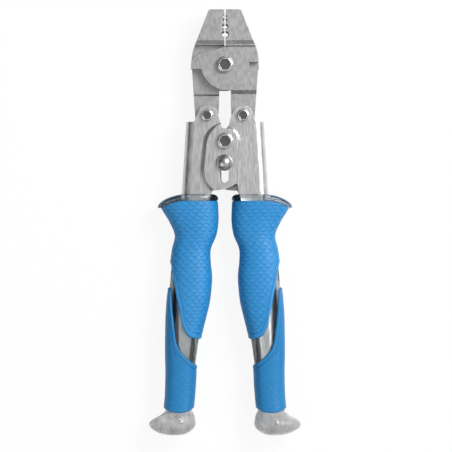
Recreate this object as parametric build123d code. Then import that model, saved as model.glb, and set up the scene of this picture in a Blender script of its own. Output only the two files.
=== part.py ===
from build123d import *
import math
import os

os.makedirs("parts", exist_ok=True)

# Compound-leverage crimping pliers, lying on their back. Millimetres.
# X is to the right, Y towards the jaws, Z up out of the front face.
# Every piece is drawn about the middle plane and lifted at export.
# The left jaw and left arm are the right ones turned half a turn about the long axis.

# Linkage: the handle pivot is the XY origin
jaw_pivot_y = 45.8
link_x = 10.8
link_y = 15.5

# Jaws
jaw_tip_y = 78.8
jaw_tip_half = 9.6
jaw_shoulder_x = 17.0
jaw_shoulder_y = 60.0
jaw_cheek_x = 20.0
jaw_cheek_rise = 6.5
jaw_cheek_ease = 0.3
jaw_tip_corner_r = 1.6
tip_gap = 0.8
heel_gap = 0.6
block_half = 6.3
block_end_y = 60.4
block_slope = 2.3
groove_half = 4.9
lap_top_y = 57.2
lap_thick = 6.0
lap_gap = 0.1
lap_edge_bevel = 0.9
ear_drop = 2.6
ear_side_x = 20.4
ear_shoulder_x = 20.2
ear_shoulder_rise = 2.0
ear_top_x = 16.0
ear_top_rise = 6.1
ear_crown_x = 10.0
ear_crown_drop = 3.3
lobe_r = 14.4
lap_bottom_y = 30.6
tail_step = 2.3
tail_half = 4.0
tail_end_r = 6.9
tail_inner_x = 3.5
lap_inner_x = 1.5
tail_outer_x = 17.9
nest_heights = [74.9, 72.2, 68.6, 63.9]
nest_widths = [1.4, 2.3, 3.3, 4.0]
nest_drops = [1.3, 1.8, 2.5, 3.4]
nest_lip = 0.4
cutter_notch_y = 45.6
cutter_notch_width = 3.4
cutter_notch_depth = 5.6
cutter_notch_corner_r = 0.5

# Arms, folded from sheet
sheet = 2.5
arm_half = 6.6
bend_r = 5.0
arm_top_y = 11.6
arm_top_x = 23.2
arm_flare = 0.06
ear_r = 6.0
boss_r = 7.2
lobe_radius = 13.0
lobe_left_x = 14.5
lobe_waist_y = -16.0
lobe_foot_x = 8.2
lobe_foot_y = -29.5
lobe_bottom_y = -28.8
lobe_roll = 2.1
lobe_corner_rise = 3.2
lobe_foot_in = 1.9
lobe_foot_rise = 1.8
lobe_brow = 0.5
lobe_heel_in = 1.9
lobe_heel_drop = 7.8
joggle_x = 7.7
joggle_low_x = 6.3
joggle_run = 1.5
joggle_gap = 0.1
notch_bottom_y = 7.4
notch_half = 1.5
throat_x = 8.2
throat_y = -31.0
tang_top_inner_x = 12.0
tang_end_inner_x = 23.0
tang_end_y = -146.0
tang_end_bevel = 1.5
tang_outer_spare = 2.0

# Handle lock
lock_x = -0.3
lock_top_y = -12.9
lock_travel = 9.4
lock_pin_r = 2.3
lock_slot_gap = 0.2
lock_knob_r = 4.85
lock_knob_height = 4.2
lock_washer_r = 4.4
lock_washer_thick = 0.9
lock_dish = 0.3
lock_dish_thick = 0.35
hook_wall_x = 4.1
hook_gap_x = 2.7
hook_outer_x = 4.6
hook_tip_y = -16.6
hook_floor_gap = 0.3
hook_corner_r = 2.5
hook_bottom_y = -27.0

# Fasteners
running_gap = 0.05
open_pivot_gap = 0.1
face_gap = 0.05
jaw_bolt_r = 3.5
jaw_bolt_head_r = 4.9
jaw_bolt_head_height = 3.8
jaw_bolt_socket = 6.0
jaw_nut_flats = 11.0
jaw_nut_height = 3.4
jaw_washer_r = 6.2
jaw_washer_thick = 1.0
link_bolt_r = 2.5
link_bolt_head_r = 3.6
link_bolt_head_height = 2.8
link_bolt_socket = 4.6
link_nut_flats = 8.0
link_nut_height = 2.7
pivot_bolt_r = 2.5
pivot_head_r = 4.85
pivot_head_height = 3.2
pivot_socket = 6.0
pivot_nut_height = 3.3
sleeve_r = 4.0
socket_depth_share = 0.85

# Opening spring
spring_wire = 1.4
spring_coil_r = 5.3
spring_pitch = 1.5
spring_full_turns = 3
spring_sides = 8
spring_steps = 24
spring_leg_lean = 34.5
spring_seat_gap = 0.1

# Grips
grip_skin = 1.3
skin_gap = 0.1
pocket_gap = 0.1
grip_squareness = 0.68
collar_top_y = -31.4
collar_depth = 4.2
collar_proud = 0.5
collar_flat_x = 22.0
collar_end_x = 42.0
collar_sag = 6.0
grip_top_y = -32.13
cap_top_y = -161.2
cap_end_y = -176.0
cap_outer_x = 45.3
cap_inner_x = 17.6
cap_half = 12.4

# Grip silhouette at even steps from the collar to the pommel: outer X, inner X, half depth
grip_rows = [
    (41.2, 4.5, 11.9),
    (38.2, 4.0, 11.2),
    (33.4, 3.9, 10.4),
    (30.2, 5.2, 9.9),
    (31.8, 8.4, 9.8),
    (33.0, 8.5, 10.2),
    (33.8, 7.7, 10.6),
    (34.4, 8.1, 10.8),
    (35.2, 9.1, 10.8),
    (35.7, 11.0, 10.6),
    (35.9, 13.0, 10.3),
    (36.0, 14.7, 10.0),
    (36.0, 15.9, 9.8),
    (35.8, 16.9, 9.6),
    (35.9, 17.3, 9.5),
    (36.2, 17.9, 9.5),
    (36.9, 18.6, 9.8),
]

# Raked edges of the two sleeves: X, and the place down the grip counted in those steps
upper_edge = [(16.0, 10.67), (22.7, 10.4), (27.0, 8.71), (31.3, 6.03), (33.2, 4.82)]
upper_edge_end = 4.45
lower_edge = [(16.0, 12.75), (24.1, 12.03), (29.5, 11.04), (32.4, 8.49), (33.1, 6.96)]
lower_edge_end = 6.68

rear_stack = arm_half + joggle_gap + sheet + pivot_nut_height
mid_height = rear_stack
lap_face = lap_gap / 2
lobe_floor = arm_half + joggle_gap
lobe_top = lobe_floor + sheet
inner_half = arm_half - sheet
grip_step = (cap_top_y - grip_top_y) / (len(grip_rows) - 1)
far_x = 2 * cap_outer_x
far_z = 2 * mid_height


def block(outline, low, high):
    """A closed plan outline raised from one height to another."""
    return Pos(0, 0, low) * extrude(outline, amount=high - low)


def flipped(shape):
    """The same piece for the other side: half a turn about the long axis."""
    return shape.rotate(Axis.Y, 180)


def rod(radius, low, high, x=0.0, y=0.0):
    """A round bar or hole along Z between two heights."""
    return Pos(x, y, (low + high) / 2) * Cylinder(radius, high - low)


def export(name, shape):
    """Lift a piece onto the resting plane and write it."""
    solid = Pos(0, 0, mid_height) * shape
    export_step(solid, f"parts/{name}.step")


# Jaws
def jaw_plan():
    """Outline of the right jaw: block, lap plate with its ear, and tail."""
    tip_x = tip_gap / 2
    heel_x = heel_gap / 2
    tail_y = lap_bottom_y - tail_step
    ear_low_y = jaw_pivot_y - ear_drop
    root_x = -math.sqrt(lobe_r**2 - ear_drop**2)
    lean = math.radians(45)
    outer = [(tip_x, jaw_tip_y), (jaw_tip_half, jaw_tip_y), (jaw_shoulder_x, jaw_shoulder_y)]
    cheek_mid = (jaw_cheek_x - jaw_cheek_ease, jaw_pivot_y + jaw_cheek_rise)
    edges = [
        Polyline(*outer),
        Spline([outer[-1], cheek_mid, (jaw_cheek_x, jaw_pivot_y)]),
        Line((jaw_cheek_x, jaw_pivot_y), (tail_outer_x, link_y)),
        ThreePointArc(
            (tail_outer_x, link_y),
            (link_x, link_y - tail_end_r),
            (link_x - tail_end_r, link_y),
        ),
        Polyline(
            (link_x - tail_end_r, link_y),
            (tail_inner_x, link_y + tail_end_r),
            (tail_inner_x, tail_y),
            (tail_inner_x, lap_bottom_y),
            (-lap_inner_x, lap_bottom_y),
        ),
        ThreePointArc(
            (-lap_inner_x, lap_bottom_y),
            (-lobe_r * math.sin(lean), jaw_pivot_y - lobe_r * math.cos(lean)),
            (root_x, ear_low_y),
        ),
        Line((root_x, ear_low_y), (-ear_side_x, ear_low_y)),
        Line((-ear_side_x, ear_low_y), (-ear_shoulder_x, jaw_pivot_y + ear_shoulder_rise)),
        Spline(
            [
                (-ear_shoulder_x, jaw_pivot_y + ear_shoulder_rise),
                (-ear_top_x, jaw_pivot_y + ear_top_rise),
                (-ear_crown_x, lap_top_y - ear_crown_drop),
                (heel_x, lap_top_y),
            ]
        ),
        Line((heel_x, lap_top_y), outer[0]),
    ]
    return make_face(edges)


def jaw_thickness():
    """Side profile of the right jaw, Y against Z, as a bar across the whole width."""
    groove_y = block_end_y - block_slope
    tail_y = lap_bottom_y - tail_step
    low_y = link_y - tail_end_r - 1.0
    points = [
        (jaw_tip_y + 1.0, block_half),
        (block_end_y, block_half),
        (groove_y, groove_half),
        (lap_top_y + 0.3, groove_half),
        (lap_top_y - lap_edge_bevel, lap_thick),
        (lap_bottom_y, lap_thick),
        (tail_y, tail_half),
        (low_y, tail_half),
        (low_y, -tail_half),
        (tail_y - 1.3, -tail_half),
        (tail_y, lap_face),
        (lap_top_y + 0.5, lap_face),
        (lap_top_y + 0.5, -groove_half),
        (groove_y, -groove_half),
        (block_end_y, -block_half),
        (jaw_tip_y + 1.0, -block_half),
    ]
    profile = make_face(Polyline(*points, close=True))
    width = 3 * jaw_cheek_x
    return extrude(Plane.YZ * profile, amount=width / 2, both=True)


def crimp_nests():
    """The half nests that are sunk into the jaw's face, each with a lip at both mouths."""
    cuts = Part()
    for y, wide, tall in zip(nest_heights, nest_widths, nest_drops):
        cuts += Pos(0, y, 0) * extrude(Ellipse(wide / 2, tall / 2), amount=block_half + 1, both=True)
        for side in (1, -1):
            mouth = Pos(0, y, side * block_half) * Ellipse(wide / 2 + nest_lip, tall / 2 + nest_lip)
            floor = Pos(0, y, side * (block_half - nest_lip)) * Ellipse(wide / 2, tall / 2)
            cuts += loft([mouth.face(), floor.face()])
    return cuts


def right_jaw_base():
    """The right jaw without its pivot hole: its lap plate is the front one."""
    body = extrude(jaw_plan(), amount=block_half + 1, both=True) & jaw_thickness()
    corner = body.edges().filter_by(Axis.Z).group_by(Axis.Y)[-1].sort_by(Axis.X)[-1]
    body = fillet(corner, jaw_tip_corner_r)
    body -= crimp_nests()
    notch = RectangleRounded(cutter_notch_depth * 2, cutter_notch_width, cutter_notch_corner_r)
    body -= Pos(jaw_cheek_x, cutter_notch_y, 0) * extrude(notch, amount=lap_thick + 1)
    body -= rod(link_bolt_r + running_gap, -lap_thick, lap_thick, link_x, link_y)
    return body


def make_jaws():
    """Both jaws, with the fitted hole in the front one and the freer hole in the rear one."""
    base = right_jaw_base()
    fitted = rod(jaw_bolt_r + running_gap, -1, lap_thick + 1, 0, jaw_pivot_y)
    freer = rod(jaw_bolt_r + open_pivot_gap, -lap_thick - 1, 1, 0, jaw_pivot_y)
    export("right_jaw", base - fitted)
    export("left_jaw", flipped(base) - freer)


# Fasteners
def socket_screw(radius, head_r, head_height, socket, seat, tip):
    """A round-headed screw with a hex socket: its head sits on the height called seat."""
    corner = min(head_height, head_r) * 0.35
    head = rod(head_r, seat, seat + head_height)
    head = fillet(head.edges().filter_by(GeomType.CIRCLE).group_by(Axis.Z)[-1], corner)
    depth = head_height * socket_depth_share
    hexagon = RegularPolygon(socket / 2, 6, major_radius=False)
    head -= Pos(0, 0, seat + head_height - depth) * extrude(hexagon, amount=depth + 1)
    return head + rod(radius, tip, seat)


def hex_nut(bore, flats, low, high):
    """A hex nut between two heights, its outer corners turned off."""
    nut = Pos(0, 0, low) * extrude(RegularPolygon(flats / 2, 6, major_radius=False), amount=high - low)
    corner_r = flats / math.sqrt(3)
    turned = rod(corner_r, low, high)
    turned = chamfer(turned.edges().filter_by(GeomType.CIRCLE), corner_r * 0.08)
    return (nut & turned) - rod(bore, low - 1, high + 1)


def make_jaw_pivot():
    """The bolt that both jaws turn on, with a washer and nut behind."""
    here = Pos(0, jaw_pivot_y, 0)
    seat = lap_thick + face_gap
    washer_top = -lap_thick - face_gap
    nut_top = washer_top - jaw_washer_thick - face_gap
    nut_low = nut_top - jaw_nut_height
    head = (jaw_bolt_head_r, jaw_bolt_head_height, jaw_bolt_socket)
    bolt = socket_screw(jaw_bolt_r, *head, seat, nut_low)
    washer = rod(jaw_washer_r, washer_top - jaw_washer_thick, washer_top)
    washer -= rod(jaw_bolt_r + running_gap, washer_top - 2 * jaw_washer_thick, 0)
    nut = hex_nut(jaw_bolt_r + running_gap, jaw_nut_flats, nut_low, nut_top)
    export("jaw_pivot_bolt", here * bolt)
    export("jaw_pivot_washer", here * washer)
    export("jaw_pivot_nut", here * nut)


def make_link(name, x):
    """The bolt and nut that join one jaw's tail to its arm."""
    here = Pos(x, link_y, 0)
    seat = arm_half + face_gap
    nut_top = -arm_half - face_gap
    nut_low = nut_top - link_nut_height
    head = (link_bolt_head_r, link_bolt_head_height, link_bolt_socket)
    nut = hex_nut(link_bolt_r + running_gap, link_nut_flats, nut_low, nut_top)
    export(f"{name}_link_bolt", here * socket_screw(link_bolt_r, *head, seat, nut_low))
    export(f"{name}_link_nut", here * nut)


def make_handle_pivot():
    """The handle pivot: screw, closed rear nut and the spacer between the arms' walls."""
    seat = lobe_top + face_gap
    nut_top = -lobe_top - face_gap
    nut_low = -rear_stack
    tip = nut_top - pivot_nut_height * 0.6
    bolt = socket_screw(pivot_bolt_r, pivot_head_r, pivot_head_height, pivot_socket, seat, tip)
    nut = rod(pivot_head_r, nut_low, nut_top)
    nut = chamfer(nut.edges().filter_by(GeomType.CIRCLE).group_by(Axis.Z)[0], 0.5)
    nut -= rod(pivot_bolt_r + running_gap, tip - 0.2, 0)
    spacer_half = inner_half - face_gap
    spacer = rod(sleeve_r, -spacer_half, spacer_half)
    spacer -= rod(pivot_bolt_r + running_gap, -arm_half, arm_half)
    export("handle_pivot_bolt", bolt)
    export("handle_pivot_nut", nut)
    export("pivot_sleeve", spacer)


# Arms
def lobe_plan(push, roll):
    """Outline of the raised front lobe: joggled side pushed out, free side drawn in."""
    right_top = (joggle_x + push, joggle_gap)
    right_low = (joggle_low_x + push, lobe_bottom_y + lobe_corner_rise)
    right_foot = (joggle_low_x - lobe_foot_in + push, lobe_bottom_y + lobe_foot_rise)
    arch_r = joggle_x + push
    lean = math.radians(45)
    notch_x = notch_half + push * 0.2
    notch_right = (notch_x, math.sqrt(arch_r**2 - notch_x**2))
    notch_left = (-notch_half, notch_bottom_y + 0.6)
    round_r = lobe_radius - roll
    start_x = notch_half + 1.0
    crown = (-start_x, min(round_r, arm_top_y - 0.6) - 0.2 * roll)
    brow = (-round_r * math.sqrt(1 - lobe_brow**2) * 0.87, round_r * lobe_brow)
    waist = (roll - lobe_left_x, lobe_waist_y)
    heel = (roll * 0.9 - lobe_left_x + lobe_heel_in, lobe_waist_y - lobe_heel_drop)
    foot = (-lobe_foot_x + roll, lobe_foot_y + roll * 0.1)
    edges = [
        Line(right_foot, right_low),
        Line(right_low, right_top),
        ThreePointArc(right_top, (arch_r * math.cos(lean), arch_r * math.sin(lean)), notch_right),
        ThreePointArc(notch_right, (0, notch_bottom_y), notch_left),
        Line(notch_left, crown),
        ThreePointArc(crown, brow, (-round_r, -1.0)),
        Line((-round_r, -1.0), waist),
        ThreePointArc(waist, heel, foot),
        ThreePointArc(foot, ((foot[0] + right_foot[0]) / 2, lobe_bottom_y), right_foot),
    ]
    return make_face(edges)


def lobe_block():
    """The lobe with its joggled side sloping and its free edge rolled over."""
    deep = lobe_top - arm_half
    sections = []
    for share, roll in ((0.0, 0.0), (0.3, 0.0), (0.7, 0.35 * lobe_roll), (1.0, lobe_roll)):
        level = Pos(0, 0, arm_half + share * deep)
        sections.append((level * lobe_plan(joggle_run * (1 - share), roll)).face())
    return loft(sections, ruled=True)


def arm_outer_x(y):
    """Where the folded outer wall stands at a height along the arm."""
    return arm_top_x + arm_flare * (arm_top_y - y)


def ear_edges(inner_foot):
    """The ear about the link bolt, from the outer shoulder round to its inner foot."""
    shoulder = (arm_top_x - bend_r + 0.2, arm_top_y)
    rise = (link_x + ear_r * math.cos(math.radians(42)), link_y + ear_r * math.sin(math.radians(42)))
    inner_side = (link_x - ear_r * 0.98, link_y + ear_r * 0.45)
    waist = (link_x - ear_r * 1.22, link_y - 1.5)
    return [
        Line(shoulder, rise),
        ThreePointArc(rise, (link_x - 0.5, link_y + ear_r), inner_side),
        Line(inner_side, waist),
        Line(waist, inner_foot),
    ]


def tang_edges(start):
    """The long tang that runs down inside the grip, from the throat round to the shoulder."""
    end_outer = arm_outer_x(tang_end_y) + tang_outer_spare
    reach = arm_top_x + tang_outer_spare
    shoulder = (arm_top_x - bend_r + 0.2, arm_top_y)
    return [
        Polyline(
            start,
            (throat_x, throat_y),
            (tang_top_inner_x, throat_y - 8.0),
            (tang_end_inner_x, tang_end_y + 8.0),
            (tang_end_inner_x + tang_end_bevel, tang_end_y),
            (end_outer, tang_end_y),
            (reach, arm_top_y),
            shoulder,
        )
    ]


def front_plan():
    """The right arm's front wall, up to the joggle that lifts its lobe."""
    foot = (notch_half + 0.2, math.sqrt(joggle_x**2 - notch_half**2))
    low = (joggle_low_x + joggle_run, lobe_bottom_y + lobe_foot_rise)
    crease = [Line(foot, (0, 0)), Line((0, 0), low)]
    return make_face(ear_edges(foot) + crease + tang_edges(low))


def rear_plan():
    """The right arm's rear wall: boss about the pivot, then the hook that the lock engages."""
    boss_top = (notch_half, math.sqrt(boss_r**2 - notch_half**2))
    boss_low = (hook_wall_x, -math.sqrt(boss_r**2 - hook_wall_x**2))
    floor_y = lock_top_y - lock_travel - lock_pin_r - hook_floor_gap
    tip_mid = (-(hook_gap_x + hook_outer_x) / 2, hook_tip_y + (hook_outer_x - hook_gap_x) / 2)
    boss = ThreePointArc(boss_top, (-boss_r, 0), boss_low)
    low = (throat_x - 2.4, hook_bottom_y)
    ease = hook_corner_r * (1 - math.cos(math.radians(45)))
    corner = (hook_wall_x - ease, floor_y + ease)
    wall_foot = (hook_wall_x, floor_y + hook_corner_r)
    floor_start = (hook_wall_x - hook_corner_r, floor_y)
    hook = [
        Line(boss_low, wall_foot),
        ThreePointArc(wall_foot, corner, floor_start),
        Line(floor_start, (-hook_gap_x, floor_y)),
        Line((-hook_gap_x, floor_y), (-hook_gap_x, hook_tip_y)),
        ThreePointArc((-hook_gap_x, hook_tip_y), tip_mid, (-hook_outer_x, hook_tip_y)),
        Line((-hook_outer_x, hook_tip_y), (-hook_outer_x, hook_bottom_y)),
        Line((-hook_outer_x, hook_bottom_y), low),
    ]
    return make_face(ear_edges(boss_top) + [boss] + hook + tang_edges(low))


def fold_profile(grow):
    """Outer outline of the folded section across the arm, grown all round by a distance."""
    deep = 2 * (arm_half + grow)
    long = 3 * arm_top_x
    bar = Pos(arm_top_x + grow - long / 2, 0) * Rectangle(long, deep)
    return fillet(bar.vertices().group_by(Axis.X)[-1], bend_r + grow)


def along_arm(profile):
    """Carry a section down the arm, leaning outwards as the outer wall does."""
    lean = Vector(arm_flare, -1, 0)
    length = (arm_top_y - tang_end_y + 5.0) * lean.length
    section = Plane(origin=(0, arm_top_y, 0), x_dir=(1, 0, 0), z_dir=(0, -1, 0))
    return extrude(section * profile, amount=length, dir=lean)


def right_arm_base():
    """The right arm: one folded stamping with a joggled front lobe and a hooked rear wall."""
    hollow = along_arm(fold_profile(-sheet))
    channel = along_arm(fold_profile(0)) - hollow
    front = front_plan()
    rear = rear_plan()
    folded = channel & (block(front, 0, arm_half + 1) + block(rear, -arm_half - 1, 0))
    above = Pos(0, arm_top_y + link_y, 0) * Box(far_x, 2 * link_y, far_z)
    folded += block(front, inner_half, arm_half) & above
    folded += block(rear, -arm_half, -inner_half) & above
    lobe = lobe_block()
    folded -= Pos(0, 0, -sheet) * lobe
    folded += lobe - block(lobe_plan(0, 0), arm_half, lobe_floor)
    folded -= rod(pivot_bolt_r + running_gap, -far_z, far_z)
    folded -= rod(link_bolt_r + running_gap, -far_z, far_z, link_x, link_y)
    slot = SlotCenterToCenter(lock_travel, 2 * (lock_pin_r + lock_slot_gap), rotation=90)
    slot = Pos(lock_x, lock_top_y - lock_travel / 2) * slot
    return folded - block(slot, arm_half, lobe_top + 1)


def make_arms():
    """Both arms: the same stamping, one turned over."""
    base = right_arm_base()
    export("right_arm", base)
    export("left_arm", flipped(base))


# Handle lock
def make_lock():
    """The sliding lock: domed knob, pin, dished friction washer and the washer inside."""
    seat = lobe_top + lock_dish + lock_dish_thick
    knob = rod(lock_knob_r, seat, seat + 1.0)
    dome_r = (lock_knob_r**2 + (lock_knob_height - 1.0) ** 2) / (2 * (lock_knob_height - 1.0))
    dome = Pos(0, 0, seat + lock_knob_height - dome_r) * Sphere(dome_r)
    knob += dome & rod(lock_knob_r, seat + 1.0, seat + lock_knob_height + 1)
    head_depth = 1.6
    knob -= rod(lock_pin_r + running_gap, seat - 1, seat + head_depth + face_gap)
    washer_top = inner_half - face_gap
    washer_low = washer_top - lock_washer_thick
    pin = rod(lock_pin_r, washer_low, seat + head_depth)
    washer = rod(lock_washer_r, washer_low, washer_top) - rod(lock_pin_r + running_gap, 0, arm_half)
    low = lobe_top + face_gap / 2
    inner = lock_pin_r + running_gap
    outer = lock_knob_r - 0.6
    ring = Polyline(
        (outer, low),
        (outer, low + lock_dish_thick),
        (inner, low + lock_dish + lock_dish_thick - face_gap),
        (inner, low + lock_dish - face_gap),
        close=True,
    )
    dish = revolve(Plane.XZ * make_face(ring), axis=Axis.Z)
    here = Pos(lock_x, lock_top_y, 0)
    export("lock_knob", here * knob)
    export("lock_pin", here * pin)
    export("lock_inner_washer", here * washer)
    export("lock_spring_washer", here * dish)


# Opening spring
def spring_reach(foot_x, foot_y, height, lean):
    """How long a leg is, so that its end rests on the arm's outer wall."""
    wire_r = spring_wire / 2
    fold_r = bend_r - sheet
    rise = height / 2 + wire_r - (inner_half - fold_r)
    fold_x = fold_r - math.sqrt(fold_r**2 - rise**2) if rise > 0 else 0
    wall_x = arm_outer_x(foot_y) - sheet - fold_x - spring_seat_gap - wire_r * math.cos(lean)
    return (wall_x - foot_x) / (math.sin(lean) - arm_flare * math.cos(lean))


def make_spring():
    """The torsion spring: a coil about the pivot sleeve, with a leg to each arm's outer wall."""
    lean = math.radians(spring_leg_lean)
    turned = math.pi - 2 * lean + 2 * math.pi * spring_full_turns
    height = spring_pitch * turned / (2 * math.pi)
    slope = height / (turned * spring_coil_r)
    wire = RegularPolygon(spring_wire / 2, spring_sides)
    foot_x = spring_coil_r * math.cos(lean)
    foot_y = spring_coil_r * math.sin(lean)
    reach = spring_reach(foot_x, foot_y, height, lean)
    steps = round(spring_steps * turned / (2 * math.pi))
    coil = []
    for index in range(steps + 1):
        angle = lean + turned * index / steps
        out = Vector(math.cos(angle), math.sin(angle), 0)
        along = Vector(-math.sin(angle), math.cos(angle), slope)
        level = Vector(0, 0, height * (index / steps - 0.5))
        coil.append(Plane(origin=out * spring_coil_r + level, x_dir=out, z_dir=along))
    right_run = Vector(math.sin(lean), -math.cos(lean), 0)
    left_run = Vector(-math.sin(lean), -math.cos(lean), 0)
    right_tip = Plane(origin=coil[0].origin + right_run * reach, x_dir=coil[0].x_dir, z_dir=-right_run)
    left_tip = Plane(origin=coil[-1].origin + left_run * reach, x_dir=coil[-1].x_dir, z_dir=left_run)
    sections = [(plane * wire).face() for plane in [right_tip] + coil + [left_tip]]
    export("opening_spring", loft(sections, ruled=True))


# Grips
def oval(y, outer_x, inner_x, half):
    """A squarish oval across the grip at one height, from four curved quarters."""
    wide = (outer_x - inner_x) / 2
    near = grip_squareness
    quarters = []
    for x_sign, z_sign in ((1, 1), (-1, 1), (-1, -1), (1, -1)):
        side = (x_sign * wide, 0)
        side_pull = (x_sign * wide, z_sign * half * near)
        crown_pull = (x_sign * wide * near, z_sign * half)
        crown = (0, z_sign * half)
        points = [side, side_pull, crown_pull, crown]
        quarters.append(Bezier(*(points if x_sign == z_sign else reversed(points))))
    plane = Plane(origin=((outer_x + inner_x) / 2, y, 0), x_dir=(1, 0, 0), z_dir=(0, -1, 0))
    return (plane * make_face(quarters)).face()


def loft_down(high_y, low_y, rows):
    """A smooth body through ovals at even steps between two heights."""
    step = (low_y - high_y) / (len(rows) - 1)
    return loft([oval(high_y + step * index, *row) for index, row in enumerate(rows)])


def grip_body(inset):
    """The grip's outer form, drawn in from the silhouette by a distance."""
    rows = [(outer - inset, inner + inset, half - inset) for outer, inner, half in grip_rows]
    return loft_down(grip_top_y, cap_top_y, rows)


def brim_line(drop):
    """The collar's top line seen from the front, level inside and sagging outwards."""
    high_y = collar_top_y - drop
    middle_x = (collar_flat_x + collar_end_x) / 2
    return [
        Line((-far_x, high_y), (collar_flat_x, high_y)),
        Bezier((collar_flat_x, high_y), (middle_x, high_y), (collar_end_x, high_y - collar_sag)),
        Line((collar_end_x, high_y - collar_sag), (far_x, high_y - collar_sag)),
    ]


def below_brim(drop, low_y):
    """A block that fills everything from the brim line down to a height."""
    high_y = collar_top_y - drop
    sides = Polyline(
        (far_x, high_y - collar_sag),
        (far_x, low_y),
        (-far_x, low_y),
        (-far_x, high_y),
    )
    return block(make_face(brim_line(drop) + [sides]), -far_z, far_z)


def grip_collar():
    """The clear guard round the top of the grip."""
    low_y = collar_top_y - collar_depth - 2 * collar_sag
    ring = grip_body(-collar_proud) & below_brim(0, low_y)
    ring -= below_brim(collar_depth - skin_gap, low_y - 1)
    return ring


def grip_cap():
    """The clear pommel, flared away from the other grip."""
    outer, inner, half = grip_rows[-1]
    rows = [
        (outer - grip_skin, inner + grip_skin, half - grip_skin),
        (cap_outer_x - 4.4, cap_inner_x + 0.5, cap_half - 1.3),
        (cap_outer_x, cap_inner_x, cap_half),
        (cap_outer_x - 2.2, cap_inner_x + 1.8, cap_half - 1.4),
        (cap_outer_x - 11.0, cap_inner_x + 8.0, cap_half - 7.0),
    ]
    return loft_down(cap_top_y, cap_end_y, rows)


def right_core():
    """The clear grip core: body, collar and pommel in one moulding, hollow for the tang."""
    body = (grip_body(grip_skin) & below_brim(0, cap_end_y)) + grip_collar() + grip_cap()
    start = (tang_top_inner_x, 0)
    closing = Polyline((arm_top_x - bend_r + 0.2, arm_top_y), start)
    tang = offset(make_face(tang_edges(start) + [closing]), amount=pocket_gap)
    pocket = along_arm(fold_profile(pocket_gap)) & block(tang, -arm_half - 1, arm_half + 1)
    return body - pocket


def grip_y(place):
    """The height at a place down the grip, counted in the silhouette's steps."""
    return grip_top_y + grip_step * place


def raked_edge(points, end_place):
    """A sleeve's long raked edge, carried level past both sides of the grip."""
    curve = [(x, grip_y(place)) for x, place in points]
    return [
        Line((-far_x, curve[0][1]), curve[0]),
        Spline(curve),
        Line(curve[-1], (far_x, grip_y(end_place))),
    ]


def upper_sleeve():
    """The upper sleeve, from the collar down to its raked edge."""
    low = raked_edge(upper_edge, upper_edge_end)
    high_y = collar_top_y + collar_depth
    sides = Polyline(
        (far_x, grip_y(upper_edge_end)),
        (far_x, high_y),
        (-far_x, high_y),
        (-far_x, grip_y(upper_edge[0][1])),
    )
    region = block(make_face(low + [sides]), -far_z, far_z)
    return grip_body(0) & region & below_brim(collar_depth, cap_top_y)


def lower_sleeve():
    """The lower sleeve, from its raked edge down to the pommel."""
    high = raked_edge(lower_edge, lower_edge_end)
    low_y = cap_top_y + skin_gap
    sides = Polyline(
        (far_x, grip_y(lower_edge_end)),
        (far_x, low_y),
        (-far_x, low_y),
        (-far_x, grip_y(lower_edge[0][1])),
    )
    return grip_body(0) & block(make_face(high + [sides]), -far_z, far_z)


def make_grips():
    """Both grips: a clear core with two rubber sleeves on each."""
    inside = grip_body(grip_skin - skin_gap)
    pieces = {
        "grip_core": right_core(),
        "upper_sleeve": upper_sleeve() - inside,
        "lower_sleeve": lower_sleeve() - inside,
    }
    for name, shape in pieces.items():
        export(f"right_{name}", shape)
        export(f"left_{name}", flipped(shape))


make_jaws()
make_jaw_pivot()
make_link("right", link_x)
make_link("left", -link_x)
make_handle_pivot()
make_arms()
make_lock()
make_spring()
make_grips()
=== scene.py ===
import logging
from dataclasses import dataclass, field, replace
from enum import Enum

import bpy
import numpy as np
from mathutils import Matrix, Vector


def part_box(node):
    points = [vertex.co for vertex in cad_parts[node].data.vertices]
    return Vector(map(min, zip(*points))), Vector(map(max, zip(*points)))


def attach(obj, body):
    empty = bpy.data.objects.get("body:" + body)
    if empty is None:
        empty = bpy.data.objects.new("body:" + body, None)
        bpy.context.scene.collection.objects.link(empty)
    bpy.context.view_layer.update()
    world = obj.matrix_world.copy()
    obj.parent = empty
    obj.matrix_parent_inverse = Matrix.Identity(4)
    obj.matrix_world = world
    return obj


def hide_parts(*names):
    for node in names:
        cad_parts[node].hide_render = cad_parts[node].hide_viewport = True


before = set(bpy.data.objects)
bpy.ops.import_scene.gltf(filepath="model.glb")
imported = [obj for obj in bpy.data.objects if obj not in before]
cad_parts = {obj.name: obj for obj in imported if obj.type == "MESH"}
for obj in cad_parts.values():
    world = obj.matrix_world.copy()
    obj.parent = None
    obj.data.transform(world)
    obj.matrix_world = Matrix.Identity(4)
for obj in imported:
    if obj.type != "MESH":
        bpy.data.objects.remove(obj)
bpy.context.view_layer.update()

MM = 0.001
LOG = logging.getLogger("crimping_pliers")
Colour = tuple[float, float, float]


class Side(Enum):
    """Which half of the pliers a piece belongs to: the sign of its X."""

    RIGHT = 1
    LEFT = -1

    @property
    def word(self) -> str:
        """The side's name as the nodes and bodies write it."""
        return self.name.lower()


class Skin(Enum):
    """The two rubber sleeves on each grip."""

    UPPER = "upper"
    LOWER = "lower"


def smooth_step(low: float, high: float, value: np.ndarray) -> np.ndarray:
    """Ease from 0 to 1 between two values.

    Args:
        low: where the ease starts.
        high: where it ends.
        value: the numbers to ease.

    Returns:
        The eased numbers.
    """
    share = np.clip((value - low) / (high - low), 0.0, 1.0)
    return share * share * (3.0 - 2.0 * share)


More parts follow.
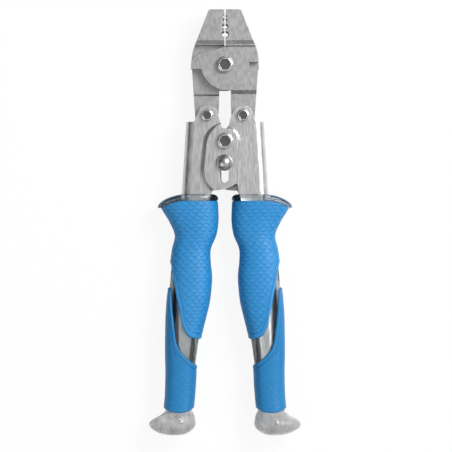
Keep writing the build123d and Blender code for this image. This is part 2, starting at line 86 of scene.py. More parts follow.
def through_rows(rows: np.ndarray, place: np.ndarray) -> np.ndarray:
    """Read a smooth curve through rows of numbers.

    Args:
        rows: the control rows, one per whole place.
        place: where to read, counted in rows.

    Returns:
        One row of numbers for each place.
    """
    last = len(rows) - 1
    place = np.clip(place, 0.0, last)
    low = np.minimum(place.astype(int), last - 1)
    part = (place - low)[..., None]
    before = rows[np.maximum(low - 1, 0)]
    start = rows[low]
    end = rows[low + 1]
    after = rows[np.minimum(low + 2, last)]
    bend_in = (end - before) / 2
    bend_out = (after - start) / 2
    square = part * part
    cube = square * part
    return (
        (2 * cube - 3 * square + 1) * start
        + (cube - 2 * square + part) * bend_in
        + (3 * square - 2 * cube) * end
        + (cube - square) * bend_out
    )


def deselect_all() -> None:
    """Clear the selection, so that the next operator works on its own piece alone."""
    for picked in list(bpy.context.selected_objects):
        picked.select_set(False)


# Node materials


class Palette:
    """A small helper that builds one procedural material from shader nodes.

    Noise stays mostly between its low and high value. A well starts a little below its mouth.
    """

    noise_low: float = 0.3
    noise_high: float = 0.7
    bevel_samples: int = 4
    well_lip: float = -0.0001

    def __init__(self, name: str) -> None:
        """Start an empty material with an output and a surface shader."""
        self.material = bpy.data.materials.new(name)
        self.material.use_nodes = True
        self.tree = self.material.node_tree
        self.tree.nodes.clear()
        self.output = self.tree.nodes.new("ShaderNodeOutputMaterial")
        self.surface = self.tree.nodes.new("ShaderNodeBsdfPrincipled")
        self.link(self.surface.outputs["BSDF"], self.output.inputs["Surface"])
        self.place = self.tree.nodes.new("ShaderNodeTexCoord").outputs["Object"]

    def link(self, source: bpy.types.NodeSocket, target: bpy.types.NodeSocket) -> None:
        """Join one socket to another."""
        self.tree.links.new(source, target)

    def stretched(self, scale: tuple[float, float, float]) -> bpy.types.NodeSocket:
        """Object coordinates, scaled along each axis.

        Args:
            scale: how many times each axis is repeated in a metre.

        Returns:
            The scaled coordinates.
        """
        mapping = self.tree.nodes.new("ShaderNodeMapping")
        mapping.inputs["Scale"].default_value = scale
        self.link(self.place, mapping.inputs["Vector"])
        return mapping.outputs["Vector"]

    def noise(self, scale: tuple[float, float, float], detail: float = 4.0) -> bpy.types.NodeSocket:
        """Cloudy noise on stretched object coordinates.

        Args:
            scale: how fine the noise is along each axis.
            detail: how many finer layers it has.

        Returns:
            The noise value from 0 to 1.
        """
        noise = self.tree.nodes.new("ShaderNodeTexNoise")
        noise.inputs["Scale"].default_value = 1.0
        noise.inputs["Detail"].default_value = detail
        self.link(self.stretched(scale), noise.inputs["Vector"])
        return noise.outputs["Fac"]

    def attribute(self, name: str) -> bpy.types.NodeSocket:
        """A number stored on the mesh."""
        node = self.tree.nodes.new("ShaderNodeAttribute")
        node.attribute_name = name
        return node.outputs["Fac"]

    def ramp(self, value: bpy.types.NodeSocket, stops: list[tuple[float, tuple]]) -> bpy.types.NodeSocket:
        """Turn a value into a colour.

        Args:
            value: the value to read.
            stops: the places and colours of the ramp.

        Returns:
            The colour.
        """
        node = self.tree.nodes.new("ShaderNodeValToRGB")
        elements = node.color_ramp.elements
        while len(elements) < len(stops):
            elements.new(0.5)
        for element, (place, colour) in zip(elements, stops):
            element.position = place
            element.color = (*colour, 1.0)
        self.link(value, node.inputs["Fac"])
        return node.outputs["Color"]

    def span(self, value: bpy.types.NodeSocket, low: float, high: float) -> bpy.types.NodeSocket:
        """Stretch a noise value over a span.

        Args:
            value: the value to stretch.
            low: what a low noise value becomes.
            high: what a high noise value becomes.

        Returns:
            The stretched value.
        """
        node = self.tree.nodes.new("ShaderNodeMapRange")
        node.inputs["From Min"].default_value = self.noise_low
        node.inputs["From Max"].default_value = self.noise_high
        node.inputs["To Min"].default_value = low
        node.inputs["To Max"].default_value = high
        self.link(value, node.inputs["Value"])
        return node.outputs["Result"]

    def between(self, value: bpy.types.NodeSocket, start: float, end: float) -> bpy.types.NodeSocket:
        """Ease a value to a share from 0 to 1.

        Args:
            value: the value to read.
            start: where the share is 0.
            end: where the share is 1.

        Returns:
            The share.
        """
        node = self.tree.nodes.new("ShaderNodeMapRange")
        node.inputs["From Min"].default_value = start
        node.inputs["From Max"].default_value = end
        self.link(value, node.inputs["Value"])
        return node.outputs["Result"]

    def mix(
        self, share: bpy.types.NodeSocket, first: Colour, second: bpy.types.NodeSocket
    ) -> bpy.types.NodeSocket:
        """Pass from a plain colour to another colour.

        Args:
            share: how much of the second colour.
            first: the plain colour.
            second: the second colour.

        Returns:
            The mixed colour.
        """
        node = self.tree.nodes.new("ShaderNodeMix")
        node.data_type = "RGBA"
        self.link(share, node.inputs["Factor"])
        node.inputs["A"].default_value = (*first, 1.0)
        self.link(second, node.inputs["B"])
        return node.outputs["Result"]

    def multiply(self, first: bpy.types.NodeSocket, second: bpy.types.NodeSocket) -> bpy.types.NodeSocket:
        """Multiply two colours.

        Args:
            first: the first colour.
            second: the second colour.

        Returns:
            The product.
        """
        node = self.tree.nodes.new("ShaderNodeMix")
        node.data_type = "RGBA"
        node.blend_type = "MULTIPLY"
        node.inputs["Factor"].default_value = 1.0
        self.link(first, node.inputs["A"])
        self.link(second, node.inputs["B"])
        return node.outputs["Result"]

    def math(
        self, way: str, first: bpy.types.NodeSocket, second: bpy.types.NodeSocket | float
    ) -> bpy.types.NodeSocket:
        """Join two numbers by a sum, product or comparison.

        Args:
            way: the name of the operation.
            first: the first number.
            second: the second number, a socket or a fixed value.

        Returns:
            The result.
        """
        node = self.tree.nodes.new("ShaderNodeMath")
        node.operation = way
        self.link(first, node.inputs[0])
        if isinstance(second, float):
            node.inputs[1].default_value = second
        else:
            self.link(second, node.inputs[1])
        return node.outputs["Value"]

    def well(self, mouth: Vector, radius: float, fade: float) -> bpy.types.NodeSocket:
        """How deep a point lies in a round well that is sunk along Z; the mask for painted shade in a screw's
        socket.

        Args:
            mouth: the middle of the well's mouth.
            radius: the well's radius.
            fade: the depth at which the value reaches 1.

        Returns:
            0 outside the well and above its mouth, rising to 1 below it.
        """
        shift = self.tree.nodes.new("ShaderNodeMapping")
        shift.inputs["Location"].default_value = -mouth
        self.link(self.place, shift.inputs["Vector"])
        split = self.tree.nodes.new("ShaderNodeSeparateXYZ")
        self.link(shift.outputs["Vector"], split.inputs["Vector"])
        x_square = self.math("MULTIPLY", split.outputs["X"], split.outputs["X"])
        y_square = self.math("MULTIPLY", split.outputs["Y"], split.outputs["Y"])
        within = self.math("LESS_THAN", self.math("ADD", x_square, y_square), radius * radius)
        depth = self.tree.nodes.new("ShaderNodeMapRange")
        depth.inputs["From Min"].default_value = self.well_lip
        depth.inputs["From Max"].default_value = -fade
        self.link(split.outputs["Z"], depth.inputs["Value"])
        return self.math("MULTIPLY", within, depth.outputs["Result"])

    def bump(
        self, height: bpy.types.NodeSocket, strength: float, distance: float, rounded: float = 0.0
    ) -> None:
        """Raise the surface by a height, on edges that may be softened.

        Args:
            height: the height value.
            strength: how strong the relief is.
            distance: the relief's depth in metres.
            rounded: the radius of softened edges in metres.
        """
        node = self.tree.nodes.new("ShaderNodeBump")
        node.inputs["Strength"].default_value = strength
        node.inputs["Distance"].default_value = distance
        self.link(height, node.inputs["Height"])
        if rounded > 0:
            bevel = self.tree.nodes.new("ShaderNodeBevel")
            bevel.samples = self.bevel_samples
            bevel.inputs["Radius"].default_value = rounded
            self.link(bevel.outputs["Normal"], node.inputs["Normal"])
        self.link(node.outputs["Normal"], self.surface.inputs["Normal"])


@dataclass(frozen=True)
class Socket:
    """Where a screw's hex socket is, in metres, and how dark the painted shade on its floor is."""

    mouth: Vector
    radius: float
    fade: float = 0.0024
    # The colour of the painted shade at the socket's floor.
    painted_shade: Colour = (0.3, 0.3, 0.305)


@dataclass(frozen=True)
class Steel:
    """A stainless steel finish with a grain, faint clouds, softened edges and, in a bolt's head, painted shade
    in its socket.
    """

    name: str
    dark: Colour
    light: Colour
    grain: tuple[float, float, float]
    roughness: tuple[float, float]
    socket: Socket | None = None
    cloud_grain: tuple[float, float, float] = (60.0, 45.0, 60.0)
    cloud_shade: Colour = (0.92, 0.92, 0.92)
    grain_strength: float = 0.35
    grain_depth: float = 0.00002
    edge: float = 0.0003

    def make(self) -> bpy.types.Material:
        """Build the material.

        Returns:
            The finished steel.
        """
        paint = Palette(self.name)
        streak = paint.noise(self.grain, 6.0)
        cloud = paint.noise(self.cloud_grain, 3.0)
        lines = paint.ramp(streak, [(0.32, self.dark), (0.68, self.light)])
        clouds = paint.ramp(cloud, [(0.3, self.cloud_shade), (0.7, (1.0, 1.0, 1.0))])
        colour = paint.multiply(lines, clouds)
        # Painted shade: the colour darkens inside the hex socket, more deeply towards its floor.
        if self.socket:
            depth = paint.well(self.socket.mouth, self.socket.radius, self.socket.fade)
            painted_shade = paint.ramp(depth, [(0.0, (1.0, 1.0, 1.0)), (1.0, self.socket.painted_shade)])
            colour = paint.multiply(colour, painted_shade)
        paint.link(colour, paint.surface.inputs["Base Color"])
        paint.surface.inputs["Metallic"].default_value = 1.0
        paint.link(paint.span(streak, *self.roughness), paint.surface.inputs["Roughness"])
        paint.bump(streak, self.grain_strength, self.grain_depth, self.edge)
        return paint.material


@dataclass(frozen=True)
class ScaleRubber:
    """Blue rubber, with painted shade in the grooves between its pressed scales and where their surface lies
    lower.
    """

    name: str = "scale_rubber"
    deep: Colour = (0.008, 0.185, 0.44)
    bright: Colour = (0.024, 0.255, 0.58)
    # The colour of the painted shade at the bottom of the grooves.
    painted_groove_shade: Colour = (0.25, 0.47, 0.63)
    fleck_grain: float = 700.0

    def make(self) -> bpy.types.Material:
        """Build the material.

        Returns:
            The finished rubber.
        """
        paint = Palette(self.name)
        faces = paint.ramp(paint.attribute("tone"), [(0.0, self.deep), (1.0, self.bright)])
        # Painted shade: darker where the stored pressed height is low, in the grooves and on the lower parts
        # of each scale.
        painted_groove_shade = paint.ramp(paint.attribute("raised"), [(0.0, self.painted_groove_shade), (0.6, (1.0, 1.0, 1.0))])
        mottle = paint.noise((self.fleck_grain, self.fleck_grain, self.fleck_grain), 5.0)
        flecks = paint.ramp(mottle, [(0.25, (0.93, 0.93, 0.93)), (0.75, (1.04, 1.04, 1.04))])
        colour = paint.multiply(paint.multiply(faces, painted_groove_shade), flecks)
        paint.link(colour, paint.surface.inputs["Base Color"])
        paint.link(paint.span(mottle, 0.4, 0.52), paint.surface.inputs["Roughness"])
        paint.surface.inputs["Specular IOR Level"].default_value = 0.38
        paint.bump(mottle, 0.3, 0.00003)
        return paint.material


@dataclass(frozen=True)
class ClearPlastic:
    """Clear moulded plastic, drawn in streaks along the grip and swirled and milky in the pommel, where the
    swirl's light and dark tones also serve as painted highlight and painted shade.
    """

    name: str = "clear_plastic"
    shaded: Colour = (0.62, 0.62, 0.62)
    milky_highlight: Colour = (0.98, 0.98, 0.98)
    clear: Colour = (0.9, 0.965, 0.98)
    swirl_grain: tuple[float, float, float] = (190.0, 150.0, 190.0)
    streak_grain: tuple[float, float, float] = (230.0, 22.0, 230.0)
    streak_share: float = 0.35
    wave_strength: float = 0.9
    wave_depth: float = 0.0019
    pommel_top: float = -0.156
    pommel_full: float = -0.163

    def make(self) -> bpy.types.Material:
        """Build the material.

        Returns:
            The finished plastic.
        """
        paint = Palette(self.name)
        swirl = paint.noise(self.swirl_grain, 2.0)
        streak = paint.noise(self.streak_grain, 2.0)
        split = paint.tree.nodes.new("ShaderNodeSeparateXYZ")
        paint.link(paint.place, split.inputs["Vector"])
        cloudy = paint.between(split.outputs["Y"], self.pommel_top, self.pommel_full)
        plain = paint.between(split.outputs["Y"], self.pommel_full, self.pommel_top)
        # Milky swirls in the pommel, whose light and dark tones are also painted highlight and painted shade.
        tint = paint.ramp(swirl, [(0.42, self.shaded), (0.56, self.milky_highlight)])
        paint.link(paint.mix(cloudy, self.clear, tint), paint.surface.inputs["Base Color"])
        paint.link(paint.span(swirl, 0.02, 0.07), paint.surface.inputs["Roughness"])
        seen_through = paint.math("MAXIMUM", paint.span(swirl, 0.5, 0.8), plain)
        paint.link(seen_through, paint.surface.inputs["Transmission Weight"])
        paint.surface.inputs["IOR"].default_value = 1.45
        swirled = paint.math("MULTIPLY", swirl, cloudy)
        drawn = paint.math("MULTIPLY", paint.math("MULTIPLY", streak, plain), self.streak_share)
        paint.bump(paint.math("ADD", swirled, drawn), self.wave_strength, self.wave_depth)
        return paint.material


# The grips


@dataclass
class GripForm:
    """The grip's outer form, in millimetres: ovals at even steps down its length.

    Each row holds the outer X, the inner X and the half depth.
    """

    top_y: float = -32.13
    low_y: float = -161.2
    squareness: float = 0.68
    mid_z: float = 12.5
    sag_from_x: float = 22.0
    sag_over_x: float = 20.0
    sag: float = 6.0
    measuring_points: int = 2049
    rows: list[tuple[float, float, float]] = field(
        default_factory=lambda: [
            (41.2, 4.5, 11.9),
            (38.2, 4.0, 11.2),
            (33.4, 3.9, 10.4),
            (30.2, 5.2, 9.9),
            (31.8, 8.4, 9.8),
            (33.0, 8.5, 10.2),
            (33.8, 7.7, 10.6),
            (34.4, 8.1, 10.8),
            (35.2, 9.1, 10.8),
            (35.7, 11.0, 10.6),
            (35.9, 13.0, 10.3),
            (36.0, 14.7, 10.0),
            (36.0, 15.9, 9.8),
            (35.8, 16.9, 9.6),
            (35.9, 17.3, 9.5),
            (36.2, 17.9, 9.5),
            (36.9, 18.6, 9.8),
        ]
    )

    @property
    def step(self) -> float:
        """The distance between two rows."""
        return (self.top_y - self.low_y) / (len(self.rows) - 1)

    def at(self, y: np.ndarray) -> tuple[np.ndarray, np.ndarray, np.ndarray]:
        """Outer X, inner X and half depth at heights along the grip.

        Args:
            y: the heights.

        Returns:
            The three measures.
        """
        values = through_rows(np.array(self.rows), (self.top_y - y) / self.step)
        return values[..., 0], values[..., 1], values[..., 2]

    def oval(self, turn: np.ndarray) -> tuple[np.ndarray, np.ndarray]:
        """A unit oval, squarish by the grip's squareness.

        Args:
            turn: how far round, from 0 at the outer side to 1.

        Returns:
            The place across and the place through the grip, each from -1 to 1.
        """
        quarter = (turn % 1.0) * 4.0
        index = quarter.astype(int)
        part = quarter - index
        near = self.squareness
        fall = (1 - part) ** 3 + 3 * (1 - part) ** 2 * part + 3 * (1 - part) * part**2 * near
        rise = 3 * (1 - part) ** 2 * part * near + 3 * (1 - part) * part**2 + part**3
        across = np.choose(index, [fall, -rise, -fall, rise])
        through = np.choose(index, [rise, fall, -rise, -fall])
        return across, through

    def surface(self, turn: np.ndarray, y: np.ndarray) -> tuple[np.ndarray, np.ndarray]:
        """X and Z of the grip's surface.

        Args:
            turn: how far round.
            y: the height along the grip.

        Returns:
            X and Z, with Z about the middle plane.
        """
        outer, inner, half = self.at(y)
        across, through = self.oval(turn)
        return (outer + inner) / 2 + across * (outer - inner) / 2, through * half

    def collar_sag(self, x: np.ndarray) -> np.ndarray:
        """How much lower the collar and the sleeve's top edge lie towards the outer side.

        Args:
            x: the place across.

        Returns:
            The drop.
        """
        return self.sag * np.clip((x - self.sag_from_x) / self.sag_over_x, 0, 1.0) ** 2

    def even_turns(self, count: int) -> np.ndarray:
        """Places round the grip that lie an equal distance apart at its waist.

        Args:
            count: how many places.

        Returns:
            The places, from 0 to 1.
        """
        fine = np.linspace(0.0, 1.0, self.measuring_points)
        x, z = self.surface(fine, np.full_like(fine, (self.top_y + self.low_y) / 2))
        length = np.concatenate([[0.0], np.cumsum(np.hypot(np.diff(x), np.diff(z)))])
        return np.interp(np.arange(count) / count, length / length[-1], fine)


@dataclass
class Grid:
    """A closed band of points: rows along the grip, columns round it."""

    name: str
    points: np.ndarray
    weld: float = 1e-7

    def normals(self) -> np.ndarray:
        """Outward directions at every point of the band."""
        wrapped = np.concatenate([self.points[:, -1:], self.points, self.points[:, :1]], axis=1)
        round_way = wrapped[:, 2:] - wrapped[:, :-2]
        along = np.gradient(self.points, axis=0)
        normal = np.cross(round_way, along)
        return normal / np.maximum(np.linalg.norm(normal, axis=2, keepdims=True), 1e-9)

    def build(self, side: Side, attributes: dict[str, np.ndarray], looped: bool) -> bpy.types.Object:
        """Make the mesh from a grid primitive, welded along its seams.

        Args:
            side: the right grip is drawn, the left is turned half a turn about the long axis.
            attributes: numbers to store on the points.
            looped: whether the last row meets the first, instead of both ends being capped.

        Returns:
            The finished mesh object.
        """
        points = self.points
        if looped:
            points = np.concatenate([points, points[:1]], axis=0)
        rows, columns, _ = points.shape
        deselect_all()
        bpy.ops.mesh.primitive_grid_add(x_subdivisions=columns, y_subdivisions=rows - 1, size=1.0)
        piece = bpy.context.object
        piece.name = self.name
        closed = np.concatenate([points, points[:, :1]], axis=1)
        if side is Side.LEFT:
            closed = closed * np.array([-1.0, 1.0, -1.0])
        closed = closed + np.array([0.0, 0.0, GripForm.mid_z])
        mesh = piece.data
        mesh.vertices.foreach_set("co", (closed * MM).astype(np.float32).ravel())
        for key, values in attributes.items():
            layer = mesh.attributes.new(key, "FLOAT", "POINT")
            if looped:
                values = np.concatenate([values, values[:1]], axis=0)
            wrapped = np.concatenate([values, values[:, :1]], axis=1)
            layer.data.foreach_set("value", wrapped.astype(np.float32).ravel())
        mesh.update()
        bpy.ops.object.mode_set(mode="EDIT")
        bpy.ops.mesh.select_all(action="SELECT")
        bpy.ops.mesh.remove_doubles(threshold=self.weld)
        if not looped:
            bpy.ops.mesh.select_all(action="DESELECT")
            bpy.ops.mesh.select_non_manifold()
            bpy.ops.mesh.edge_face_add()
        bpy.ops.mesh.select_all(action="SELECT")
        bpy.ops.mesh.normals_make_consistent(inside=False)
        bpy.ops.object.mode_set(mode="OBJECT")
        bpy.ops.object.shade_smooth()
        return piece


@dataclass(frozen=True)
class Press:
    """How deeply one sleeve's scales are pressed, how fine its mesh is and how its tones run."""

    rings: int
    quick_rings: int
    depth: float
    dull: float
    bright: float


PRESSES = {
    Skin.UPPER: Press(rings=350, quick_rings=233, depth=0.95, dull=0.72, bright=0.96),
    Skin.LOWER: Press(rings=300, quick_rings=200, depth=0.5, dull=0.08, bright=0.24),
}


@dataclass
class Sleeve:
    """A rubber sleeve with pressed scales, a plain border band and a groove beside it.

    The raked edges are points of X and Y, seen from the front.
    """

    form: GripForm
    skin: Skin
    around: int = 260
    wall: float = 1.1
    rim_roll: float = 0.3
    inner_rows: int = 16
    scale_width: float = 4.7
    row_share: float = 0.46
    reach: float = 0.505
    relief: float = 0.3
    swell_middle: float = 0.78
    swell_to_tip: float = 0.22
    swell_to_side: float = 0.12
    row_seed: float = 12.99
    column_seed: float = 78.23
    seed_spread: float = 43758.55
    groove_width: float = 0.4
    faint_lip: float = 0.25
    seam_plain: tuple[float, float] = (0.3, 0.9)
    plain_height: float = 0.9
    flush_height: float = 0.95
    band: float = 2.7
    band_ease: float = 0.25
    band_groove: float = 0.3
    rounded_edge: float = 0.8
    edge_sink: float = 0.45
    measured_span: tuple[float, float] = (-170.0, -30.0)
    measured_rows: int = 561
    top_y: float = -35.7
    foot_y: float = -159.6
    foot_mid_x: float = 27.7
    foot_half: float = 9.8
    foot_bow: float = 2.6
    upper_rake: list[tuple[float, float]] = field(
        default_factory=lambda: [
            (14.0, -118.4),
            (17.0, -118.0),
            (20.5, -117.2),
            (22.7, -115.6),
            (25.4, -110.6),
            (27.0, -102.8),
            (29.5, -91.6),
            (31.3, -80.8),
            (32.4, -74.5),
            (34.0, -69.5),
        ]
    )
    lower_rake: list[tuple[float, float]] = field(
        default_factory=lambda: [
            (15.0, -135.2),
            (19.4, -132.4),
            (24.1, -128.8),
            (27.4, -125.0),
            (29.5, -120.4),
            (30.8, -111.4),
            (32.3, -100.6),
            (33.2, -88.9),
            (36.0, -85.5),
        ]
    )

    def edge_y(self, x: np.ndarray, low: bool) -> np.ndarray:
        """Where the sleeve starts or ends, seen from the front.

        Args:
            x: the place across.
            low: the lower edge instead of the upper one.

        Returns:
            The edge's height.
        """
        if self.skin is Skin.UPPER and not low:
            return self.top_y - self.form.collar_sag(x)
        if self.skin is Skin.LOWER and low:
            off_middle = np.clip(np.abs(x - self.foot_mid_x) / self.foot_half, 0, 1)
            return self.foot_y - self.foot_bow * (1 - off_middle**2)
        rake = np.array(self.upper_rake if self.skin is Skin.UPPER else self.lower_rake)
        return np.interp(x, rake[:, 0], rake[:, 1])

    def settle(self, turn: np.ndarray, low: bool) -> np.ndarray:
        """Find the edge's height at each place round the grip.

        The place across depends on the height and the height on the place across,
        so both are brought together in small steps, and the edge is then smoothed.

        Args:
            turn: the places round.
            low: the lower edge instead of the upper one.

        Returns:
            The heights.
        """
        start_y = -118.0 if self.skin is Skin.UPPER and low else -100.0
        rounds = 80
        taken_up = 0.35
        y = np.full_like(turn, start_y)
        for _ in range(rounds):
            x, _ = self.form.surface(turn, y)
            y = (1 - taken_up) * y + taken_up * self.edge_y(x, low)
        kernel = np.array([1.0, 2.0, 3.0, 2.0, 1.0])
        padded = np.concatenate([y[-2:], y, y[:2]])
        return np.convolve(padded, kernel / kernel.sum(), mode="valid")

    def paced(self, turn: np.ndarray, y: np.ndarray) -> tuple[np.ndarray, np.ndarray]:
        """Measure how far round the grip each point lies from the middle of its face.

        Args:
            turn: the columns' places round, from 0 to 1.
            y: the heights, with one row for each ring and one column for each turn.

        Returns:
            The distance from the face's middle line, and the distance to the nearer moulding seam.
        """
        heights = np.linspace(*self.measured_span, self.measured_rows)
        x, z = self.form.surface(turn[None, :], heights[:, None])
        steps = np.hypot(np.diff(x, axis=1, append=x[:, :1]), np.diff(z, axis=1, append=z[:, :1]))
        quarter = steps.sum(axis=1, keepdims=True) / 4
        reached = np.cumsum(steps, axis=1) - steps
        off_middle = reached - np.where(turn[None, :] < 0.5, quarter, 3 * quarter)
        to_seam = quarter - np.abs(off_middle)
        read = [
            np.stack([np.interp(y[:, place], heights, table[:, place]) for place in range(len(turn))], axis=1)
            for table in (off_middle, to_seam)
        ]
        return read[0], read[1]

    def scales(self, turn: np.ndarray, y: np.ndarray) -> tuple[np.ndarray, np.ndarray]:
        """Overlapping scales whose rounded free edges point to the pommel.

        Args:
            turn: the columns' places round, from 0 to 1.
            y: the heights along the grip.

        Returns:
            The height of the pressed surface and the tone of each scale.
        """
        off_middle, to_seam = self.paced(turn, y)
        pitch = self.scale_width * self.row_share
        radius = self.scale_width * self.reach
        u = off_middle / self.scale_width
        v = -y / pitch
        raised = np.zeros_like(v)
        tone = np.full_like(v, 0.5)
        taken = np.zeros(v.shape, bool)
        rim = np.full(v.shape, radius)
        lip = np.zeros_like(v)
        base = np.floor(v)
        for offset in (-2, -1, 0, 1):
            row = base + offset
            shift = 0.5 * np.mod(row, 2)
            column = np.round(u - shift)
            across = (u - shift - column) * self.scale_width
            down = (v - row) * pitch
            distance = np.hypot(across, down)
            inside = (distance < radius) & ~taken
            swell = self.swell_middle + self.swell_to_tip * down / radius
            swell = swell - self.swell_to_side * (across / radius) ** 2
            raised = np.where(inside, swell, raised)
            seed = np.sin(row * self.row_seed + column * self.column_seed) * self.seed_spread
            tone = np.where(inside, seed - np.floor(seed), tone)
            gap = np.abs(radius - distance)
            nearer = ~taken & (gap < rim)
            rim = np.where(nearer, gap, rim)
            tip = np.clip(down / radius, 0, 1)
            lip = np.where(nearer, self.faint_lip + (1 - self.faint_lip) * tip, lip)
            taken |= inside
        raised = raised * (1 - lip * (1 - smooth_step(0.0, self.groove_width, rim)))
        pressed = smooth_step(*self.seam_plain, to_seam)
        return raised * pressed + self.plain_height * (1 - pressed), tone

    def rolled(self, edge: np.ndarray, before: np.ndarray, out: np.ndarray) -> np.ndarray:
        """The middle of a rounded rim, a little beyond the edge.

        Args:
            edge: the edge's points.
            before: points further in on the same skin.
            out: the outward directions at the edge.

        Returns:
            The rim's points.
        """
        beyond = (edge - before) / np.linalg.norm(edge - before, axis=1)[:, None]
        return edge - out * self.wall / 2 + beyond * self.rim_roll

    def wrapped(self, outer: np.ndarray, out: np.ndarray) -> np.ndarray:
        """Carry the outer skin round a rolled rim and back up inside.

        Args:
            outer: the outer skin's points.
            out: the outward directions.

        Returns:
            The points of the closed wall.
        """
        inside = outer - out * self.wall
        picks = np.linspace(1, len(outer) - 2, self.inner_rows).round().astype(int)[::-1]
        low = self.rolled(outer[-1], outer[-3], out[-1])
        high = self.rolled(outer[0], outer[2], out[0])
        return np.concatenate([outer, low[None], inside[picks], high[None]], axis=0)

    def from_edge(self, y: np.ndarray, edge: np.ndarray, pitch: float) -> np.ndarray:
        """The distance from a raked edge, measured square to it.

        Args:
            y: the heights of the points.
            edge: the edge's height in each column.
            pitch: the distance between two columns.

        Returns:
            The distances.
        """
        slope = np.gradient(edge) / pitch
        return np.abs(y - edge[None, :]) / np.sqrt(1 + slope**2)[None, :]

    def banded(self, raised: np.ndarray, tone: np.ndarray, raked: np.ndarray) -> tuple[np.ndarray, np.ndarray]:
        """Smooth a plain band along the raked edge, with a groove beside it.

        Args:
            raised: the height of the pressed surface.
            tone: the tone of each scale.
            raked: the distance from the raked edge.

        Returns:
            The height and tone with the band.
        """
        press = PRESSES[self.skin]
        plain = smooth_step(0.0, self.band_ease, self.band - raked)
        line = np.exp(-(((raked - self.band) / self.band_groove) ** 2))
        raised = raised * (1 - plain) + self.plain_height * plain
        raised = raised * (1 - self.plain_height * line)
        return raised, tone * (1 - plain) + (press.dull + press.bright) / 2 * plain

    def make(self, side: Side) -> bpy.types.Object:
        """Build one sleeve.

        Args:
            side: which grip it is on.

        Returns:
            The sleeve.
        """
        press = PRESSES[self.skin]
        rings = press.rings
        turn = self.form.even_turns(self.around)
        top = self.settle(turn, False)
        low = self.settle(turn, True)
        y = top[None, :] + (low - top)[None, :] * np.linspace(0, 1, rings)[:, None]
        x, z = self.form.surface(np.broadcast_to(turn, y.shape), y)
        grid = Grid(f"{side.word}_{self.skin.value}_sleeve_scaled", np.stack([x, y, z], axis=2))
        out = grid.normals()
        raised, tone = self.scales(turn, y)
        raised = 1.0 - press.depth * (1.0 - raised)
        tone = press.dull + (press.bright - press.dull) * tone
        steps = np.linalg.norm(np.roll(grid.points, -1, axis=1) - grid.points, axis=2)
        pitch = steps.sum(axis=1).mean() / self.around
        from_top = self.from_edge(y, top, pitch)
        from_low = self.from_edge(y, low, pitch)
        raised, tone = self.banded(raised, tone, from_low if self.skin is Skin.UPPER else from_top)
        near_edge = 1 - smooth_step(0.0, self.rounded_edge, np.minimum(from_low, from_top))
        height = self.relief * (raised - self.flush_height) - self.edge_sink * near_edge**2
        grid.points = self.wrapped(grid.points + out * height[..., None], out)
        # The pressed height is also stored for the rubber, which paints shade where it is low.
        filler = np.ones((len(grid.points) - rings, self.around))
        stored = {
            "raised": np.concatenate([raised, filler], axis=0),
            "tone": np.concatenate([tone, filler * press.bright], axis=0),
        }
        return grid.build(side, stored, True)


@dataclass
class ClearCore:
    """The clear grip core: guard collar, waist, windows and flared pommel in one moulding.

    Each row of the collar and pommel holds the height, the outer X, the inner X and the half depth.
    """

    form: GripForm
    inset: float = 1.2
    around: int = 144
    finer: int = 6
    collar_low: float = -44.0
    collar_full: float = -37.0
    collar: list[tuple[float, float, float, float]] = field(
        default_factory=lambda: [
            (-31.6, 27.0, 9.0, 6.5),
            (-31.6, 31.0, 8.2, 8.4),
            (-31.7, 35.0, 7.0, 10.2),
            (-32.1, 38.2, 5.6, 11.6),
            (-33.0, 39.9, 4.5, 12.2),
            (-34.2, 40.3, 4.1, 12.3),
            (-35.1, 39.8, 4.3, 12.0),
            (-35.7, 38.9, 4.9, 11.3),
            (-36.6, 37.9, 5.2, 10.7),
            (-38.6, 37.2, 5.2, 10.2),
            (-41.5, 35.8, 5.2, 9.8),
            (-44.5, 34.0, 5.2, 9.5),
        ]
    )
    pommel: list[tuple[float, float, float, float]] = field(
        default_factory=lambda: [
            (-162.4, 36.4, 19.2, 9.2),
            (-164.6, 39.4, 18.3, 10.7),
            (-167.0, 43.8, 17.8, 12.0),
            (-169.3, 45.5, 17.5, 12.4),
            (-171.4, 44.6, 18.3, 12.1),
            (-173.5, 42.0, 20.2, 10.9),
            (-175.0, 38.6, 22.8, 8.8),
            (-175.8, 35.0, 25.8, 5.6),
            (-176.0, 32.5, 28.5, 2.4),
        ]
    )

    def droop(self, x: np.ndarray, y: np.ndarray) -> np.ndarray:
        """How far the collar hangs lower towards its outer end.

        Args:
            x: the place across.
            y: the height before it hangs.

        Returns:
            The drop in millimetres.
        """
        return smooth_step(self.collar_low, self.collar_full, y) * self.form.collar_sag(x)

    def make(self, side: Side) -> bpy.types.Object:
        """Build one core.

        Args:
            side: which grip it is in.

        Returns:
            The core.
        """
        body = []
        for index, (outer, inner, half) in enumerate(self.form.rows[2:], 2):
            y = self.form.top_y - self.form.step * index
            body.append((y, outer - self.inset, inner + self.inset, half - self.inset))
        rows = np.array(self.collar + body + self.pommel)
        place = np.linspace(0, len(rows) - 1, (len(rows) - 1) * self.finer + 1)
        values = through_rows(rows, place)
        turn = np.arange(self.around) / self.around
        across, through = self.form.oval(turn)
        y, outer, inner, half = (values[:, index, None] for index in range(4))
        x = (outer + inner) / 2 + across[None, :] * (outer - inner) / 2
        z = through[None, :] * half
        y = np.broadcast_to(y, x.shape)
        points = np.stack([x, y - self.droop(x, y), z], axis=2)
        grid = Grid(f"{side.word}_clear_core", points)
        return grid.build(side, {}, False)


